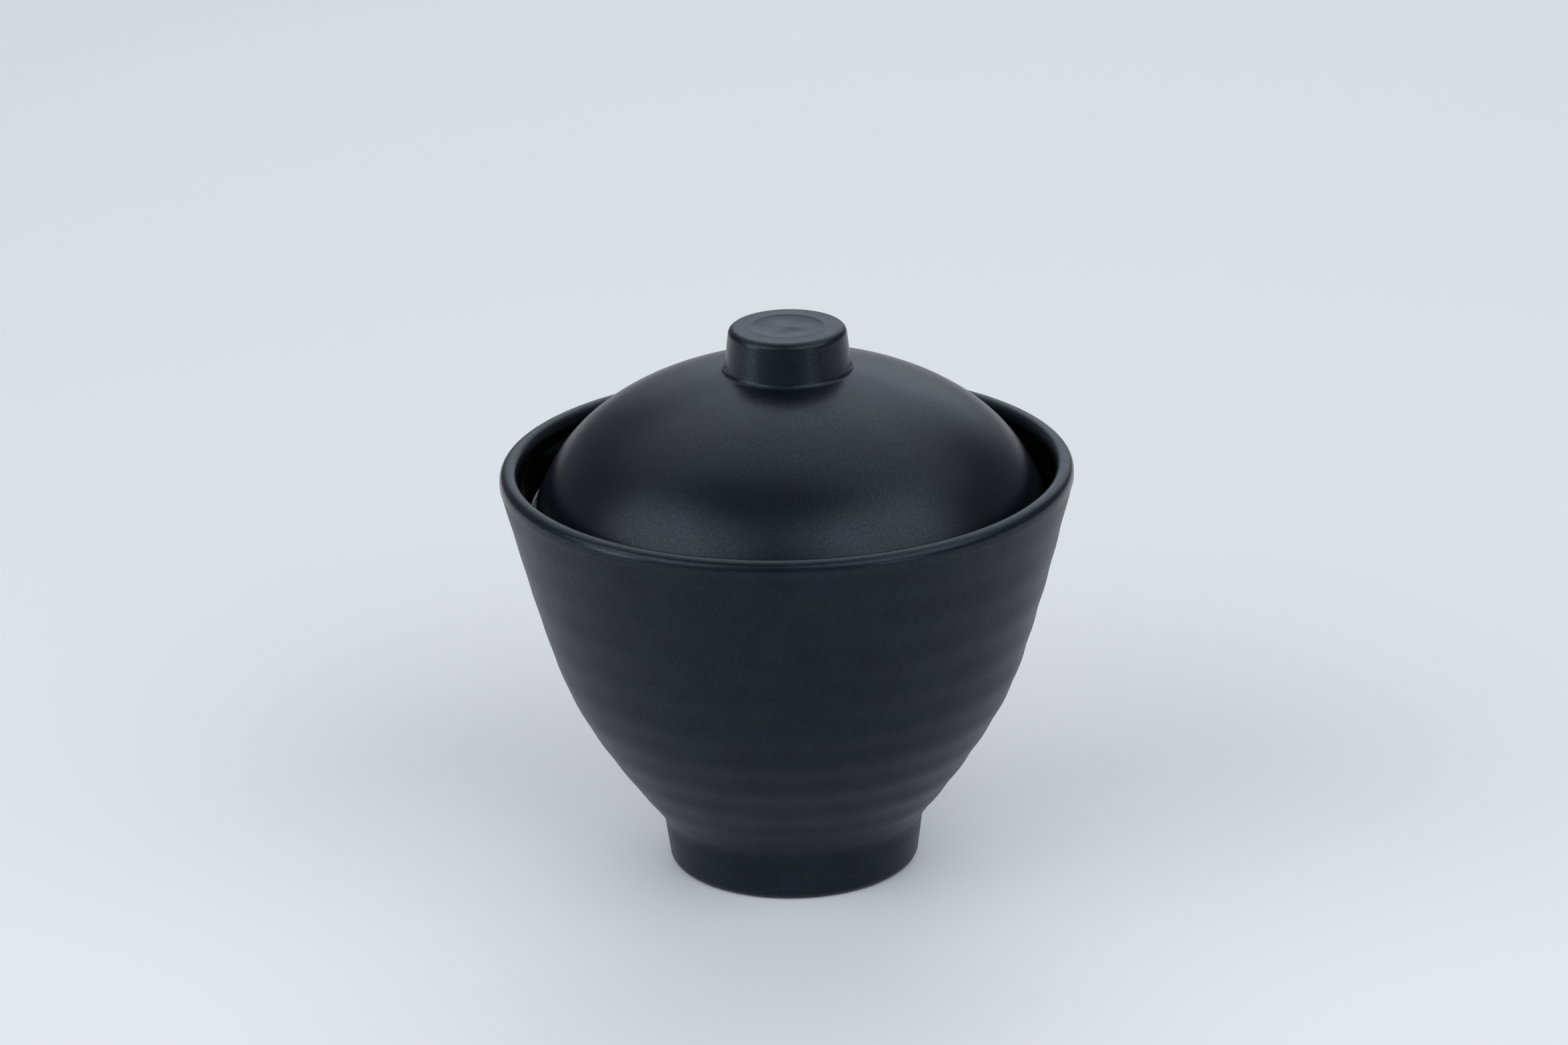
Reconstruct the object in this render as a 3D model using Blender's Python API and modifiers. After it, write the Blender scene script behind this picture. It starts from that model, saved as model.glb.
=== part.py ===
"""Lidded sugar bowl: a turned bowl with a foot ring, and a domed lid that lifts straight off.

Units are metres, +Z is up, and the origin is at the middle of the foot ring's underside.
Every outline is a list of (radius, height) points, read as a half section at +X.
"""
import math

import bpy

MM = 0.001
AROUND = 48
AXIS_MERGE = 0.01 * MM

# Bowl, outside
RIM_RADIUS = 55.0 * MM
LIP_TOP = 81.05 * MM
LIP_CREST = 53.0 * MM
LIP_INSIDE = [(51.3 * MM, 77.4 * MM), (51.3 * MM, 79.9 * MM), (51.75 * MM, LIP_TOP), (LIP_CREST, LIP_TOP)]
LIP_OUTSIDE = [(LIP_CREST, LIP_TOP), (54.4 * MM, LIP_TOP), (RIM_RADIUS, 80.3 * MM), (RIM_RADIUS, 79.0 * MM)]
BODY_CURVE = [
    (26.2 * MM, 11.0 * MM),
    (45.0 * MM, 35.7 * MM),
    (44.3 * MM, 37.6 * MM),
    (54.95 * MM, 78.2 * MM),
]

# Foot ring
FOOT_RADIUS = 24.25 * MM
FOOT_NECK = (24.95 * MM, 7.0 * MM)
FOOT_NECK_BEND = (25.15 * MM, 9.6 * MM)
FOOT_EDGE = 1.9 * MM
FOOT_INNER_EDGE = 0.8 * MM
FOOT_RING_WIDTH = 4.6 * MM
RECESS_DEPTH = 5.5 * MM
RECESS_FILLET = 1.5 * MM

# Bowl, inside
WALL = 3.4 * MM
FLOOR_HEIGHT = 9.5 * MM
FLOOR_FLAT_RADIUS = 13.0 * MM
FLOOR_BEND_RADIUS = 20.8 * MM
LEDGE_HEIGHT = 72.0 * MM
LEDGE_INNER_RADIUS = 47.3 * MM
LEDGE_OUTER_RADIUS = 49.95 * MM
LEDGE_EDGE = 0.5 * MM
LEDGE_CORNER = 1.3 * MM

# Lid
SEAT_GAP = 0.3 * MM
LID_SEAT = LEDGE_HEIGHT + SEAT_GAP
LID_RADIUS = 48.9 * MM
LID_EDGE = 0.6 * MM
LID_WALL = 3.0 * MM
DOME_START = (12.8 * MM, 100.05 * MM - LID_SEAT)
DOME_CURVE = [
    DOME_START,
    (50.0 * MM, 92.2 * MM - LID_SEAT),
    (45.6 * MM, 73.2 * MM - LID_SEAT),
    (LID_RADIUS, 77.6 * MM - LID_SEAT),
    (LID_RADIUS, LID_EDGE),
]
LID_CROWN = 98.3 * MM - LID_SEAT

# Knob
KNOB_TOP = 108.5 * MM - LID_SEAT
KNOB_RADIUS = 11.35 * MM
KNOB_EDGE = 1.4 * MM
KNOB_BASE = (12.1 * MM, 100.9 * MM - LID_SEAT)
KNOB_FILLET = (12.2 * MM, 100.2 * MM - LID_SEAT)
DIMPLE_RADIUS = 7.1 * MM
DIMPLE_DEPTH = 0.5 * MM

MATTE_BLACK = (0.018, 0.021, 0.027, 1.0)
BOWL_ROUGHNESS = 0.48
LID_ROUGHNESS = 0.52


def bezier(controls, steps):
    """Points along a Bezier curve of any degree, both ends included."""
    degree = len(controls) - 1
    points = []
    for step in range(steps + 1):
        t = step / steps
        weights = [math.comb(degree, i) * (1 - t) ** (degree - i) * t**i for i in range(degree + 1)]
        points.append(tuple(sum(w * c[k] for w, c in zip(weights, controls)) for k in (0, 1)))
    return points


def arc(centre, radius, start, end, steps):
    """Points along an arc, its angles in degrees from outwards (0) towards up (90)."""
    angles = [math.radians(start + (end - start) * step / steps) for step in range(steps + 1)]
    return [(centre[0] + radius * math.cos(a), centre[1] + radius * math.sin(a)) for a in angles]


def offset(points, distance):
    """The outline moved sideways, to the left of its direction of travel."""
    moved = []
    for i, (radius, height) in enumerate(points):
        before, after = points[max(i - 1, 0)], points[min(i + 1, len(points) - 1)]
        out, up = after[0] - before[0], after[1] - before[1]
        length = math.hypot(out, up)
        moved.append((radius - up / length * distance, height + out / length * distance))
    return moved


def bowl_inside():
    """From the middle of the floor, up the wall and over the ledge, to the corner below the rim."""
    wall = [p for p in offset(bezier(BODY_CURVE, 12), WALL) if p[0] < LEDGE_INNER_RADIUS]
    bend = bezier([(FLOOR_FLAT_RADIUS, FLOOR_HEIGHT), (FLOOR_BEND_RADIUS, FLOOR_HEIGHT), wall[0]], 4)
    ledge_edge = (LEDGE_INNER_RADIUS + LEDGE_EDGE, LEDGE_HEIGHT - LEDGE_EDGE)
    ledge_corner = (LEDGE_OUTER_RADIUS - LEDGE_CORNER, LEDGE_HEIGHT + LEDGE_CORNER)
    return (
        [(0.0, FLOOR_HEIGHT)]
        + bend
        + wall[1:]
        + arc(ledge_edge, LEDGE_EDGE, 180, 90, 2)
        + arc(ledge_corner, LEDGE_CORNER, -90, 0, 3)
    )


def bowl_outside():
    """Over the lip, down the body and into the neck of the foot."""
    body = bezier(BODY_CURVE, 12)[::-1]
    neck = bezier([body[-1], FOOT_NECK_BEND, FOOT_NECK], 3)
    return bezier(LIP_INSIDE, 5) + bezier(LIP_OUTSIDE, 6)[1:] + body + neck[1:]


def foot_ring():
    """Round the foot ring's two edges and across the recess under the bowl."""
    inner_radius = FOOT_RADIUS - FOOT_RING_WIDTH
    outer_edge = (FOOT_RADIUS - FOOT_EDGE, FOOT_EDGE)
    inner_edge = (inner_radius + FOOT_INNER_EDGE, FOOT_INNER_EDGE)
    recess_corner = (inner_radius - RECESS_FILLET, RECESS_DEPTH - RECESS_FILLET)
    return (
        arc(outer_edge, FOOT_EDGE, 0, -90, 4)
        + arc(inner_edge, FOOT_INNER_EDGE, -90, -180, 2)
        + arc(recess_corner, RECESS_FILLET, 0, 90, 3)
        + [(0.0, RECESS_DEPTH)]
    )


def knob():
    """From the middle of the dimple, over the knob's edge and down its side."""
    dimple_floor = KNOB_TOP - DIMPLE_DEPTH
    dimple = bezier(
        [
            (0.0, dimple_floor),
            (0.5 * DIMPLE_RADIUS, dimple_floor),
            (0.7 * DIMPLE_RADIUS, KNOB_TOP),
            (DIMPLE_RADIUS, KNOB_TOP),
        ],
        5,
    )
    edge = arc((KNOB_RADIUS - KNOB_EDGE, KNOB_TOP - KNOB_EDGE), KNOB_EDGE, 90, 0, 4)
    return dimple + edge + [KNOB_BASE]


def dome():
    """From the knob's base, through the fillet, down the dome to the lid's edge."""
    fillet = bezier([KNOB_BASE, KNOB_FILLET, DOME_START], 3)
    return fillet[1:-1] + bezier(DOME_CURVE, 18)


def lid_underside():
    """Round the lid's edge, across its seat and back up under the dome to the middle."""
    inside = offset(bezier(DOME_CURVE, 12), -LID_WALL)[::-1]
    crown = bezier([inside[-1], (0.5 * inside[-1][0], LID_CROWN), (0.0, LID_CROWN)], 4)
    outer_edge = (LID_RADIUS - LID_EDGE, LID_EDGE)
    inner_edge = (LID_RADIUS - LID_WALL + LID_EDGE, LID_EDGE)
    return (
        arc(outer_edge, LID_EDGE, 0, -90, 2)[1:]
        + arc(inner_edge, LID_EDGE, -90, -180, 2)
        + inside[1:]
        + crown[1:]
    )


def plastic(name, roughness):
    """Matte black moulded plastic."""
    material = bpy.data.materials.new(name)
    material.use_nodes = True
    shader = material.node_tree.nodes["Principled BSDF"]
    shader.inputs["Base Color"].default_value = MATTE_BLACK
    shader.inputs["Roughness"].default_value = roughness
    shader.inputs["Metallic"].default_value = 0.0
    return material


def turned(name, outline, material, collection, seat=0.0):
    """A solid of revolution about +Z, with its origin on the axis at the seat's height."""
    mesh = bpy.data.meshes.new(name)
    points = [(radius, 0.0, height) for radius, height in outline]
    mesh.from_pydata(points, [(i, i + 1) for i in range(len(points) - 1)], [])
    mesh.materials.append(material)
    piece = bpy.data.objects.new(name, mesh)
    piece.location.z = seat
    collection.objects.link(piece)
    screw = piece.modifiers.new("turn", "SCREW")
    screw.axis = "Z"
    screw.steps = AROUND
    screw.render_steps = AROUND
    screw.use_merge_vertices = True
    screw.merge_threshold = AXIS_MERGE
    screw.use_smooth_shade = True
    return piece


def build():
    for old in list(bpy.data.objects):
        bpy.data.objects.remove(old)
    collection = bpy.data.collections.new("sugar_bowl")
    bpy.context.scene.collection.children.link(collection)
    stand = bpy.data.objects.new("sugar_bowl_base", None)
    collection.objects.link(stand)
    bowl_outline = bowl_inside() + bowl_outside() + foot_ring()
    lid_outline = knob() + dome() + lid_underside()
    bowl = turned("bowl", bowl_outline, plastic("bowl_black", BOWL_ROUGHNESS), collection)
    lid = turned("lid", lid_outline, plastic("lid_black", LID_ROUGHNESS), collection, LID_SEAT)
    bowl.parent = stand
    lid.parent = stand


build()
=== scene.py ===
"""Looks of the lidded sugar bowl: turned meshes, moulded black plastic, floor, light and camera."""
import math

import bpy
import numpy as np
from mathutils import Matrix, Vector


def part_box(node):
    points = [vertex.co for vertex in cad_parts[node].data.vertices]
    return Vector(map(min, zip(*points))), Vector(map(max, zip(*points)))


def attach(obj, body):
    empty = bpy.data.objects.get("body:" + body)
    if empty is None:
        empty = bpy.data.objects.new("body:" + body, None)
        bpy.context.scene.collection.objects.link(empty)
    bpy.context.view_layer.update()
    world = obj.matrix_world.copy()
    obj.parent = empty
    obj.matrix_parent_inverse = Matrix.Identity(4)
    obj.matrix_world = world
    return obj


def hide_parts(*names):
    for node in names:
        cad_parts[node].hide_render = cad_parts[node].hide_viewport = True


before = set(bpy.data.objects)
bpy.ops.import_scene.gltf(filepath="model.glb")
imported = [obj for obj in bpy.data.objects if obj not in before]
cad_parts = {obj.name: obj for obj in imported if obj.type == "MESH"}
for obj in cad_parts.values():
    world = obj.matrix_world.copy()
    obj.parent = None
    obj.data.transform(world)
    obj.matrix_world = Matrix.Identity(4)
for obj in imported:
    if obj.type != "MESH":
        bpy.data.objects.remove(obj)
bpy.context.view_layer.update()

_, bowl_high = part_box("bowl")

# One millimetre of the drawing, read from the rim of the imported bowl.
RIM_RADIUS_MM = 55.0
MM = bowl_high.x / RIM_RADIUS_MM

AROUND = 256

# Bowl, in drawing millimetres: (radius, height)
LIP_TOP = 81.05
LIP_CREST = 53.0
LIP_INSIDE = [(51.3, 77.4), (51.3, 79.9), (51.75, LIP_TOP), (LIP_CREST, LIP_TOP)]
LIP_OUTSIDE = [(LIP_CREST, LIP_TOP), (54.4, LIP_TOP), (RIM_RADIUS_MM, 80.3), (RIM_RADIUS_MM, 79.0)]
GLOSS_TOP = 79.3
BODY_CURVE = [(26.2, 11.0), (45.0, 35.7), (44.3, 37.6), (54.95, 78.2)]
PARTING_HEIGHT = 78.3
PARTING_RIDGE = 0.05

FOOT_RADIUS = 24.25
FOOT_NECK = (24.95, 7.0)
FOOT_NECK_BEND = (25.15, 9.6)
FOOT_EDGE = 1.9
FOOT_INNER_EDGE = 0.8
FOOT_RING_WIDTH = 4.6
RECESS_DEPTH = 5.5
RECESS_FILLET = 1.5

WALL = 3.4
FLOOR_HEIGHT = 9.5
FLOOR_FLAT_RADIUS = 13.0
FLOOR_BEND_RADIUS = 20.8
LEDGE_HEIGHT = 72.0
LEDGE_INNER_RADIUS = 47.3
LEDGE_OUTER_RADIUS = 49.95
LEDGE_EDGE = 0.5
LEDGE_CORNER = 1.3

# Lid
LID_SEAT = 72.3
LID_RADIUS = 48.9
LID_EDGE = 0.6
LID_WALL = 3.0
DOME_START = (12.8, 100.05)
DOME_CURVE = [
    DOME_START,
    (50.0, 92.2),
    (45.6, 73.2),
    (LID_RADIUS, 77.6),
    (LID_RADIUS, LID_SEAT + LID_EDGE),
]
LID_CROWN = 98.3
KNOB_TOP = 108.5
KNOB_RADIUS = 11.35
KNOB_EDGE = 1.4
KNOB_BASE = (12.1, 100.9)
KNOB_FILLET = (12.2, 100.2)
DIMPLE_RADIUS = 7.1
DIMPLE_DEPTH = 0.5
BEAD_WIDTH = 0.45
BEAD_HEIGHT = 0.05
RISE_RADIUS = 3.4
RISE_HEIGHT = 0.35
GATE_RADIUS = 0.8
GATE_HEIGHT = 0.06

# How far the rise and the gate mark are from round: longer on one side, and slightly three-lobed
LONG_SIDE = 0.3
LONG_SIDE_ANGLE = 2.6
LOBE_DEPTH = 0.2
LOBES = 3

# The lid doesn't sit quite centred in the rim.
LID_SHIFT = 0.7

# Throwing rings round the body: each is a little further from the last on the way up.
RING_FIRST = 15.4
RING_PITCH = 5.9
RING_GROWTH = 0.19
RING_SWELL = 0.075
RING_BEAT = 0.055
RING_CALM_HEIGHT = 75.0
RING_CALM = 0.5
RING_LOPSIDED = 0.4
RING_STRONG_SIDE = math.radians(-30.0)
RING_BEAT_EVERY = 3
RING_FADE_FOOT = 3.0
RING_FADE_RIM = 8.0

# Spacing of the points along the outlines, and the nearest that two may lie
BODY_SPACING = 0.6
DOME_SPACING = 0.7
INSIDE_SPACING = 1.2
SAME_POINT = 1e-4
ON_AXIS = 1e-6

# Plastic, sizes in metres
COOL_SHEEN = (0.78, 0.89, 1.0)
PLAIN_SHEEN = (1.0, 1.0, 1.0)
CLOUD_SIZE = 0.007
CLOUD_CONTRAST = 0.25
ROUGHNESS_SPREAD = 0.02
PEEL_SIZE = 0.0016
GRAIN_SIZE = 0.0004
POWDER_CONTRAST = 0.25
DUST_SPACING = 0.005
DUST_RADIUS = 0.0001
DUST_SHARE = 0.3
DUST_COLOUR = (0.12, 0.13, 0.15)
PLASTIC_IOR = 1.5

BOWL_BLACK = (0.0045, 0.0070, 0.0105)
LID_BLACK = (0.0025, 0.0042, 0.0068)
INSIDE_BLACK = (0.0012, 0.0011, 0.0010)

# Camera: 1.2 m from the bowl and 20.4 degrees above the horizon, its angles in radians
CAMERA_DISTANCE = 1.2
CAMERA_ELEVATION = 0.3560
CAMERA_ROLL = -0.0215
CAMERA_LENS = 143.43
CAMERA_AIM = Vector((-0.0007, 0.0, 0.06872))
SENSOR_WIDTH = 36.0
CAMERA_CLIP_END = 20.0

# Floor: pale paper, with shade painted on it in front of the picture
FLOOR_SIZE = 12.0
PALE_PAPER = (0.86, 0.85, 0.83)
# Painted shade: the darker paper colour in front of the bowl stands in for shade there, which the knob's side
# reflects.
PAINTED_SHADE_PAPER = (0.40, 0.40, 0.40)
PAPER_PALE_FROM = -0.20
PAINTED_SHADE_FULL_FROM = -0.45
PAPER_ROUGHNESS = 0.6

# Light
LIGHT_DISTANCE = 1.6
LIGHT_AIM = Vector((0.0, 0.0, 0.06))
NEUTRAL = (0.96, 1.0, 1.05)
COOL = (0.90, 1.0, 1.16)
BLUISH = (0.80, 1.0, 1.30)
EDGE_EASE = 0.4
WORLD_RADIANCE = 0.165

# Softboxes: name; azimuth, elevation, angular width and height in degrees; radiance at the middle; colour
SOFTBOXES = [
    ("softbox_left", 208.0, 32.0, 84.0, 62.0, 2.1, NEUTRAL),
    ("softbox_right", 320.0, 40.0, 84.0, 60.0, 1.95, NEUTRAL),
    ("softbox_back", 82.0, 30.0, 65.0, 70.0, 0.84, COOL),
    ("strip_left", 199.0, 4.0, 30.0, 30.0, 4.3, NEUTRAL),
    ("strip_right", 312.0, 4.0, 30.0, 30.0, 1.8, NEUTRAL),
    ("front_sheen", 270.0, 48.0, 56.0, 42.0, 0.4, NEUTRAL),
    ("overhead", 75.0, 68.0, 110.0, 72.0, 0.95, NEUTRAL),
    ("back_fill", 90.0, 50.0, 100.0, 60.0, 0.75, NEUTRAL),
    ("front_fill", 270.0, 28.0, 110.0, 44.0, 1.2, BLUISH),
]
# The overhead box only shows in reflections. The fills show in none, and keep the shadow soft.
REFLECTED_ONLY = ("overhead",)
UNREFLECTED = ("back_fill", "front_fill")


def bezier(controls, steps):
    """Points along a Bezier curve of any degree, both ends included."""
    degree = len(controls) - 1
    t = np.linspace(0.0, 1.0, steps + 1)[:, None]
    curve = sum(
        math.comb(degree, i) * (1 - t) ** (degree - i) * t**i * np.array(c, float)
        for i, c in enumerate(controls)
    )
    return curve


def arc(centre, radius, start, end, steps):
    """Points along an arc, its angles in degrees from outwards (0) towards up (90)."""
    a = np.radians(np.linspace(start, end, steps + 1))
    return np.column_stack([centre[0] + radius * np.cos(a), centre[1] + radius * np.sin(a)])


def line(start, end, steps):
    """Evenly spaced points on a straight line, both ends included."""
    t = np.linspace(0.0, 1.0, steps + 1)[:, None]
    return (1 - t) * np.array(start, float) + t * np.array(end, float)


def offset(points, distance):
    """The outline moved sideways, to the left of its direction of travel."""
    along = np.gradient(points, axis=0)
    along /= np.linalg.norm(along, axis=1)[:, None]
    return points + distance * np.column_stack([-along[:, 1], along[:, 0]])


def even(points, spacing):
    """The same outline with its points about as far apart as spacing."""
    step = np.linalg.norm(np.diff(points, axis=0), axis=1)
    travelled = np.concatenate([[0.0], np.cumsum(step)])
    count = max(2, round(travelled[-1] / spacing) + 1)
    at = np.linspace(0.0, travelled[-1], count)
    return np.column_stack([np.interp(at, travelled, points[:, k]) for k in (0, 1)])


def chain(*sections):
    """Sections joined end to end, leaving out points that repeat. Returns points and each one's section."""
    points, owner = [sections[0][0]], [0]
    for number, section in enumerate(sections):
        for p in section:
            if np.hypot(*(p - points[-1])) > SAME_POINT:
                points.append(p)
                owner.append(number)
    return np.array(points), owner


def ring_swell(height):
    """How far the throwing rings push the body out at a height, fading towards the rim and the foot."""
    above = np.maximum(height - RING_FIRST, -2.0 * RING_PITCH)
    root = np.sqrt(np.maximum(RING_PITCH**2 + 4 * RING_GROWTH * above, 0.0))
    count = (root - RING_PITCH) / (2 * RING_GROWTH)
    beat = RING_BEAT * np.cos(2 * np.pi * (count - 0.5) / RING_BEAT_EVERY)
    swell = RING_SWELL * np.cos(2 * np.pi * count) + beat
    fade_in = np.clip((height - BODY_CURVE[0][1]) / RING_FADE_FOOT, 0.0, 1.0)
    fade_out = np.clip((BODY_CURVE[-1][1] - height) / RING_FADE_RIM, 0.0, 1.0)
    calm = 1.0 - RING_CALM * np.clip((height - RING_FIRST) / (RING_CALM_HEIGHT - RING_FIRST), 0.0, 1.0)
    return swell * calm * fade_in * fade_out


def bowl_outline():
    """Floor, wall, ledge and rim inside; then lip, body, foot and recess outside."""
    wall = offset(bezier(BODY_CURVE, 200), WALL)
    wall = wall[wall[:, 0] < LEDGE_INNER_RADIUS]
    bend = bezier([(FLOOR_FLAT_RADIUS, FLOOR_HEIGHT), (FLOOR_BEND_RADIUS, FLOOR_HEIGHT), tuple(wall[0])], 16)
    floor = line((0.0, FLOOR_HEIGHT), (FLOOR_FLAT_RADIUS, FLOOR_HEIGHT), 8)
    wall_top = line(wall[-1], (LEDGE_INNER_RADIUS, LEDGE_HEIGHT - LEDGE_EDGE), 6)
    ledge_edge = arc((LEDGE_INNER_RADIUS + LEDGE_EDGE, LEDGE_HEIGHT - LEDGE_EDGE), LEDGE_EDGE, 180, 90, 6)
    corner = (LEDGE_OUTER_RADIUS - LEDGE_CORNER, LEDGE_HEIGHT + LEDGE_CORNER)
    ledge = line(ledge_edge[-1], (corner[0], LEDGE_HEIGHT), 4)
    ledge_corner = arc(corner, LEDGE_CORNER, -90, 0, 8)
    lip_inside = bezier(LIP_INSIDE, 30)
    glossy = lip_inside[:, 1] < GLOSS_TOP
    rim_wall = line(ledge_corner[-1], LIP_INSIDE[0], 6)
    lip = np.vstack([lip_inside[~glossy], bezier(LIP_OUTSIDE, 24)])
    lip_side = line(lip[-1], (BODY_CURVE[-1][0] + PARTING_RIDGE, PARTING_HEIGHT), 4)
    body = even(bezier(BODY_CURVE, 600)[::-1], BODY_SPACING)
    neck = bezier([tuple(body[-1]), FOOT_NECK_BEND, FOOT_NECK], 10)
    inner_radius = FOOT_RADIUS - FOOT_RING_WIDTH
    edge_out = arc((FOOT_RADIUS - FOOT_EDGE, FOOT_EDGE), FOOT_EDGE, 0, -90, 8)
    foot_side = line(FOOT_NECK, edge_out[0], 8)
    edge_in = arc((inner_radius + FOOT_INNER_EDGE, FOOT_INNER_EDGE), FOOT_INNER_EDGE, -90, -180, 6)
    recess = arc((inner_radius - RECESS_FILLET, RECESS_DEPTH - RECESS_FILLET), RECESS_FILLET, 0, 90, 8)
    ceiling = line(recess[-1], (0.0, RECESS_DEPTH), 8)
    wall = np.vstack([even(wall, INSIDE_SPACING), wall_top, ledge_edge, ledge, ledge_corner, rim_wall])
    inside = np.vstack([floor, bend, wall, lip_inside[glossy]])
    foot = np.vstack([neck, foot_side, edge_out, edge_in, recess, ceiling])
    return chain(inside, np.vstack([lip, lip_side]), body, foot)


def lid_outline():
    """Knob top; knob side, dome and edge; then the underside back to the axis."""
    top = line((0.0, KNOB_TOP), (KNOB_RADIUS - KNOB_EDGE, KNOB_TOP), 64)
    edge = arc((KNOB_RADIUS - KNOB_EDGE, KNOB_TOP - KNOB_EDGE), KNOB_EDGE, 90, 0, 10)
    side = line(edge[-1], KNOB_BASE, 10)
    fillet = bezier([KNOB_BASE, KNOB_FILLET, DOME_START], 14)
    dome = even(bezier(DOME_CURVE, 800), DOME_SPACING)
    edge_out = arc((LID_RADIUS - LID_EDGE, LID_SEAT + LID_EDGE), LID_EDGE, 0, -90, 6)
    edge_in = arc((LID_RADIUS - LID_WALL + LID_EDGE, LID_SEAT + LID_EDGE), LID_EDGE, -90, -180, 6)
    inside = even(offset(bezier(DOME_CURVE, 400), -LID_WALL)[::-1], INSIDE_SPACING)
    crown = bezier([tuple(inside[-1]), (0.5 * inside[-1][0], LID_CROWN), (0.0, LID_CROWN)], 10)
    outside = np.vstack([edge, side, fillet, dome, edge_out])
    return chain(top, outside, np.vstack([edge_in, inside, crown]))


def still(radius, height, angles):
    """No relief: how far out and how far up the surface moves at each angle."""
    return 0.0 * angles, 0.0 * angles


def throwing_rings(radius, height, angles):
    """The body's rings, a little stronger on one side."""
    strength = 1.0 + RING_LOPSIDED * np.cos(angles - RING_STRONG_SIDE)
    return ring_swell(height) * strength, 0.0 * angles


def dimple(radius, height, angles):
    """The dimple in the knob's top, with a low uneven rise and the mark of the mould's gate inside."""
    dish = DIMPLE_DEPTH * (1.0 - min(radius / DIMPLE_RADIUS, 1.0) ** 3)
    bead = BEAD_HEIGHT * math.exp(-(((radius - DIMPLE_RADIUS) / BEAD_WIDTH) ** 2))
    uneven = 1.0 + LONG_SIDE * np.cos(angles - LONG_SIDE_ANGLE) + LOBE_DEPTH * np.cos(LOBES * angles)
    rise = RISE_HEIGHT * np.exp(-((radius / (RISE_RADIUS * uneven)) ** 2))
    gate = GATE_HEIGHT * np.exp(-((radius / (GATE_RADIUS * uneven)) ** 2))
    return 0.0 * angles, rise + gate + bead - dish


def turned(name, outline, owner, sections, body, centre=0.0):
    """A closed turned mesh riding on a body. Each section of its outline is a pair of material and relief.

    There is one ring of vertices for each point, or a single vertex where the outline meets the axis.
    """
    angles = np.linspace(0.0, 2 * np.pi, AROUND, endpoint=False)
    vertices, rings = [], []
    for (radius, height), section in zip(outline, owner):
        first = len(vertices)
        out, up = sections[section][1](radius, height, angles)
        if radius < ON_AXIS:
            vertices.append((MM * centre, 0.0, MM * (height + up[0])))
            rings.append([first] * AROUND)
        else:
            x = MM * (centre + (radius + out) * np.cos(angles))
            y = MM * (radius + out) * np.sin(angles)
            vertices.extend(zip(x, y, MM * (height + up)))
            rings.append(list(range(first, first + AROUND)))
    faces, slots = [], []
    for upper, lower, section in zip(rings, rings[1:], owner[1:]):
        for i in range(AROUND):
            j = (i + 1) % AROUND
            corners = [upper[i], lower[i], lower[j], upper[j]]
            faces.append([c for k, c in enumerate(corners) if c != corners[k - 1]])
            slots.append(section)
    mesh = bpy.data.meshes.new(name)
    mesh.from_pydata(vertices, [], faces)
    for material, _ in sections:
        mesh.materials.append(material)
    mesh.polygons.foreach_set("material_index", slots)
    mesh.shade_smooth()
    mesh.update()
    piece = bpy.data.objects.new(name, mesh)
    bpy.context.scene.collection.objects.link(piece)
    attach(piece, body)
    return piece


def noise(nodes, links, coordinates, size, detail=2.0):
    """Noise between 0 and 1 with features about as wide as size, in metres."""
    texture = nodes.new("ShaderNodeTexNoise")
    texture.inputs["Scale"].default_value = 1.0 / size
    texture.inputs["Detail"].default_value = detail
    links.new(coordinates, texture.inputs["Vector"])
    return texture.outputs["Fac"]


def spread(nodes, links, value, low, high, start=0.3, end=0.7):
    """A value stretched from the range start to end, into the range low to high."""
    stretch = nodes.new("ShaderNodeMapRange")
    stretch.inputs["From Min"].default_value = start
    stretch.inputs["From Max"].default_value = end
    stretch.inputs["To Min"].default_value = low
    stretch.inputs["To Max"].default_value = high
    links.new(value, stretch.inputs["Value"])
    return stretch.outputs["Result"]


def blend_colours(nodes, links, factor, first, second):
    """A colour between first and second, each a colour or an output, by a factor from 0 to 1."""
    mix = nodes.new("ShaderNodeMix")
    mix.data_type = "RGBA"
    links.new(factor, mix.inputs["Factor"])
    for socket, colour in (("A", first), ("B", second)):
        target = next(i for i in mix.inputs if i.name == socket and i.type == "RGBA")
        if isinstance(colour, bpy.types.NodeSocket):
            links.new(colour, target)
        else:
            target.default_value = (*colour, 1.0)
    return next(o for o in mix.outputs if o.type == "RGBA")


def bump(nodes, links, height, depth, normal=None):
    """Relief of a height between 0 and 1, depth metres deep, on top of another relief."""
    relief = nodes.new("ShaderNodeBump")
    relief.inputs["Strength"].default_value = 1.0
    relief.inputs["Distance"].default_value = depth
    links.new(height, relief.inputs["Height"])
    if normal is not None:
        links.new(normal, relief.inputs["Normal"])
    return relief.outputs["Normal"]


def dust(nodes, links, coordinates):
    """One on a few tiny specks, and 0 elsewhere."""
    cells = nodes.new("ShaderNodeTexVoronoi")
    cells.inputs["Scale"].default_value = 1.0 / DUST_SPACING
    links.new(coordinates, cells.inputs["Vector"])
    reach = DUST_RADIUS / DUST_SPACING
    speck = spread(nodes, links, cells.outputs["Distance"], 1.0, 0.0, start=0.6 * reach, end=reach)
    split = nodes.new("ShaderNodeSeparateColor")
    links.new(cells.outputs["Color"], split.inputs[0])
    first, full = 1.0 - DUST_SHARE, 1.0 - 0.5 * DUST_SHARE
    chosen = spread(nodes, links, split.outputs[0], 0.0, 1.0, start=first, end=full)
    both = nodes.new("ShaderNodeMath")
    both.operation = "MULTIPLY"
    links.new(speck, both.inputs[0])
    links.new(chosen, both.inputs[1])
    return both.outputs[0]


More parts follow.
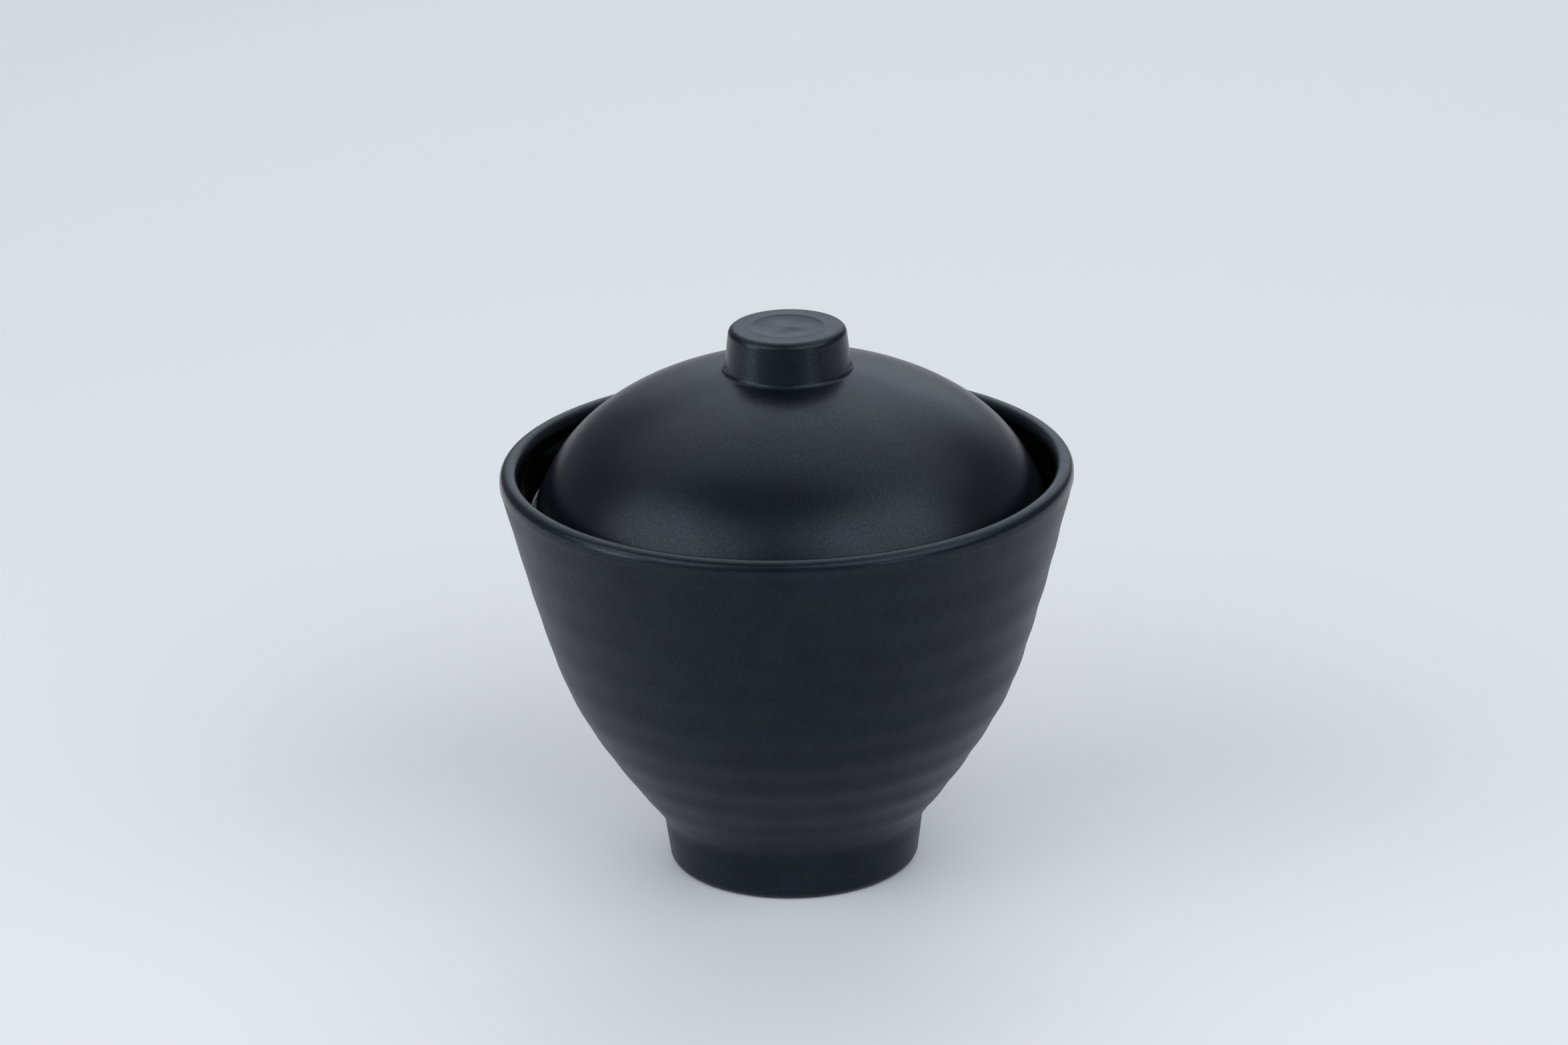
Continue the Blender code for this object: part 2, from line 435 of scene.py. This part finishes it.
def plastic(name, colour, roughness, specular, peel, grain, sheen):
    """Moulded black plastic: faint clouding, an orange peel of the mould's face, a powdery grain and dust."""
    material = bpy.data.materials.new(name)
    material.use_nodes = True
    nodes, links = material.node_tree.nodes, material.node_tree.links
    shader = nodes["Principled BSDF"]
    shader.inputs["IOR"].default_value = PLASTIC_IOR
    shader.inputs["Specular Tint"].default_value = (*sheen, 1.0)
    place = nodes.new("ShaderNodeTexCoord").outputs["Object"]
    cloud = noise(nodes, links, place, CLOUD_SIZE, detail=4.0)
    powder = noise(nodes, links, place, GRAIN_SIZE)
    dark = [c * (1.0 - CLOUD_CONTRAST) for c in colour]
    light = [c * (1.0 + CLOUD_CONTRAST) for c in colour]
    clouded = blend_colours(nodes, links, spread(nodes, links, cloud, 0.0, 1.0), dark, light)
    dusty = blend_colours(nodes, links, dust(nodes, links, place), clouded, DUST_COLOUR)
    links.new(dusty, shader.inputs["Base Color"])
    worn, fresh = roughness - ROUGHNESS_SPREAD, roughness + ROUGHNESS_SPREAD
    links.new(spread(nodes, links, cloud, fresh, worn), shader.inputs["Roughness"])
    dull, shiny = specular * (1.0 - POWDER_CONTRAST), specular * (1.0 + POWDER_CONTRAST)
    links.new(spread(nodes, links, powder, dull, shiny), shader.inputs["Specular IOR Level"])
    peeled = bump(nodes, links, noise(nodes, links, place, PEEL_SIZE), peel)
    links.new(bump(nodes, links, powder, grain, peeled), shader.inputs["Normal"])
    return material


def add_camera():
    """The camera, looking at the bowl from the front and a little above."""
    data = bpy.data.cameras.new("camera")
    data.lens = CAMERA_LENS
    data.sensor_width = SENSOR_WIDTH
    data.clip_end = CAMERA_CLIP_END
    camera = bpy.data.objects.new("camera", data)
    bpy.context.scene.collection.objects.link(camera)
    back = Vector((0.0, -math.cos(CAMERA_ELEVATION), math.sin(CAMERA_ELEVATION)))
    right = Vector((1.0, 0.0, 0.0))
    up = Vector((0.0, math.sin(CAMERA_ELEVATION), math.cos(CAMERA_ELEVATION)))
    c, s = math.cos(CAMERA_ROLL), math.sin(CAMERA_ROLL)
    x_axis, y_axis = c * right + s * up, c * up - s * right
    rotation = Matrix((x_axis, y_axis, back)).transposed()
    camera.matrix_world = Matrix.Translation(CAMERA_AIM + back * CAMERA_DISTANCE) @ rotation.to_4x4()
    bpy.context.scene.camera = camera


def add_floor():
    """A flat sheet of paper, pale under the bowl, with shade painted on it towards the front, which the
    knob's side reflects.
    """
    mesh = bpy.data.meshes.new("floor")
    half = 0.5 * FLOOR_SIZE
    corners = [(-half, -half, 0), (half, -half, 0), (half, half, 0), (-half, half, 0)]
    mesh.from_pydata(corners, [], [(0, 1, 2, 3)])
    floor = bpy.data.objects.new("floor", mesh)
    bpy.context.scene.collection.objects.link(floor)
    material = bpy.data.materials.new("floor_paper_painted_shade")
    material.use_nodes = True
    nodes, links = material.node_tree.nodes, material.node_tree.links
    place = nodes.new("ShaderNodeTexCoord").outputs["Object"]
    split = nodes.new("ShaderNodeSeparateXYZ")
    links.new(place, split.inputs[0])
    # Painted shade: the paper's colour darkens towards the camera, in front of the bowl.
    pale = spread(nodes, links, split.outputs["Y"], 0.0, 1.0, start=PAINTED_SHADE_FULL_FROM, end=PAPER_PALE_FROM)
    shade = blend_colours(nodes, links, pale, PAINTED_SHADE_PAPER, PALE_PAPER)
    links.new(shade, nodes["Principled BSDF"].inputs["Base Color"])
    nodes["Principled BSDF"].inputs["Roughness"].default_value = PAPER_ROUGHNESS
    mesh.materials.append(material)


def falloff(nodes, links, across):
    """One at the middle of a softbox, easing to nothing at its two edges."""
    edges = nodes.new("ShaderNodeMath")
    edges.operation = "PINGPONG"
    edges.inputs[1].default_value = 0.5
    links.new(across, edges.inputs[0])
    ease = nodes.new("ShaderNodeMapRange")
    ease.interpolation_type = "SMOOTHSTEP"
    ease.inputs["From Max"].default_value = EDGE_EASE
    links.new(edges.outputs[0], ease.inputs["Value"])
    return ease.outputs["Result"]


def add_softbox(name, azimuth, elevation, width, height, radiance, colour):
    """A rectangular softbox facing the bowl, placed and sized as seen from there, brightest at its middle."""
    data = bpy.data.lights.new(name, "AREA")
    data.shape = "RECTANGLE"
    data.size = 2 * LIGHT_DISTANCE * math.tan(math.radians(width / 2))
    data.size_y = 2 * LIGHT_DISTANCE * math.tan(math.radians(height / 2))
    data.energy = radiance * math.pi * data.size * data.size_y
    data.color = colour
    data.use_nodes = True
    nodes, links = data.node_tree.nodes, data.node_tree.links
    place = nodes.new("ShaderNodeNewGeometry")
    split = nodes.new("ShaderNodeSeparateXYZ")
    links.new(place.outputs["Parametric"], split.inputs[0])
    glow = [falloff(nodes, links, split.outputs[axis]) for axis in ("X", "Y")]
    both = nodes.new("ShaderNodeMath")
    both.operation = "MULTIPLY"
    links.new(glow[0], both.inputs[0])
    links.new(glow[1], both.inputs[1])
    links.new(both.outputs[0], nodes["Emission"].inputs["Strength"])
    light = bpy.data.objects.new(name, data)
    bpy.context.scene.collection.objects.link(light)
    a, e = math.radians(azimuth), math.radians(elevation)
    direction = Vector((math.cos(e) * math.cos(a), math.cos(e) * math.sin(a), math.sin(e)))
    light.location = LIGHT_AIM + LIGHT_DISTANCE * direction
    light.rotation_euler = direction.to_track_quat("Z", "Y").to_euler()
    light.visible_camera = False
    light.visible_diffuse = name not in REFLECTED_ONLY
    light.visible_glossy = name not in UNREFLECTED


# The depths of the peel and the grain are in metres.
bowl_finish = dict(roughness=0.38, specular=0.2, peel=1.2e-5, grain=1.4e-5, sheen=COOL_SHEEN)
lid_finish = dict(roughness=0.29, specular=0.32, peel=1.2e-5, grain=1.4e-5, sheen=COOL_SHEEN)
gloss_finish = dict(roughness=0.1, specular=0.34, peel=4e-6, grain=1e-6, sheen=PLAIN_SHEEN)
lip_finish = dict(roughness=0.22, specular=0.26, peel=8e-6, grain=8e-6, sheen=COOL_SHEEN)
matte_bowl = plastic("bowl_matte", BOWL_BLACK, **bowl_finish)
matte_lid = plastic("lid_matte", LID_BLACK, **lid_finish)
gloss = plastic("gloss_inside", INSIDE_BLACK, **gloss_finish)
satin_lip = plastic("lip_satin", BOWL_BLACK, **lip_finish)

bowl_sections = [(gloss, still), (satin_lip, still), (matte_bowl, throwing_rings), (matte_bowl, still)]
bowl_piece = turned("bowl_body", *bowl_outline(), bowl_sections, "bowl")
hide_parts("bowl")

lid_sections = [(matte_lid, dimple), (matte_lid, still), (gloss, still)]
lid_piece = turned("lid_dome", *lid_outline(), lid_sections, "lid", centre=LID_SHIFT)
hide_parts("lid")

add_camera()
add_floor()
for softbox in SOFTBOXES:
    add_softbox(*softbox)

world = bpy.data.worlds.new("studio")
world.use_nodes = True
world.node_tree.nodes["Background"].inputs["Color"].default_value = (*NEUTRAL, 1.0)
world.node_tree.nodes["Background"].inputs["Strength"].default_value = WORLD_RADIANCE
bpy.context.scene.world = world
bpy.context.scene.view_settings.view_transform = "Standard"
